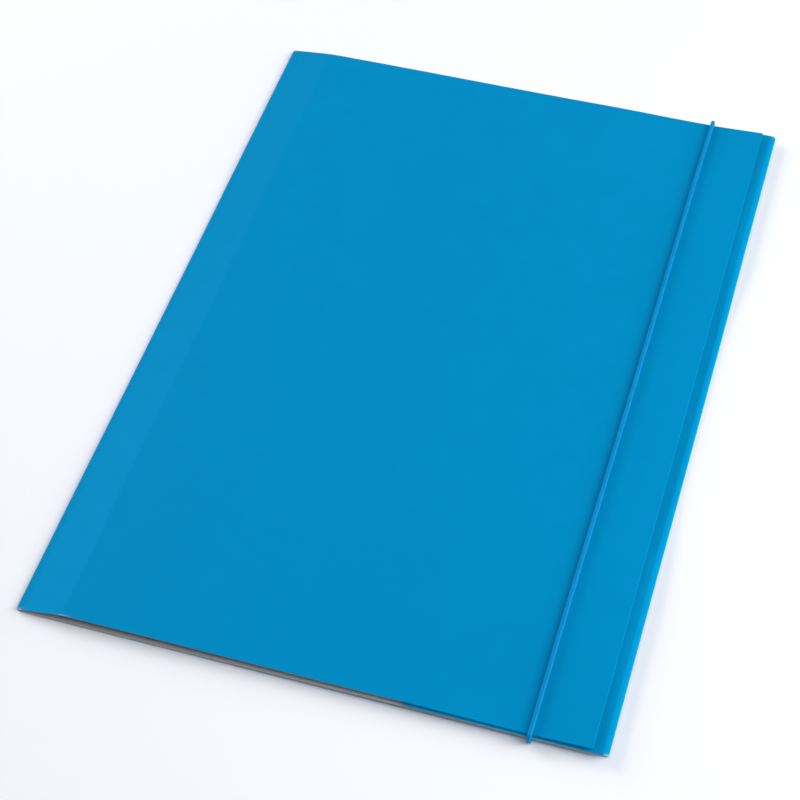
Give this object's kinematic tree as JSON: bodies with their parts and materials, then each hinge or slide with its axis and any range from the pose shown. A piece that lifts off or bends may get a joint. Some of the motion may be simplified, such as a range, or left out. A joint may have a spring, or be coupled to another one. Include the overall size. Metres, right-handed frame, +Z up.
{
  "type": "elastic folder",
  "caption": "Flat card document folder with one fore-edge flap, held shut by a round elastic cord that runs along its front near the opening edge.",
  "frame": {"origin": "on the table under the middle of the closed folder", "axes": "+X from spine to fore edge, +Y from foot to head, +Z up through the front cover"},
  "size_m": [0.226, 0.3258, 0.0071],
  "materials": {
    "card": "smooth matte, dyed blue outside, grey inside",
    "elastic": "braided textile sheath",
    "metal_end": "plain folded strip"
  },
  "bodies": {
    "root": {"folder_sheet": "card", "elastic_cord": "elastic", "foot_cord_end": "metal_end", "head_cord_end": "metal_end"}
  },
  "joints": []
}
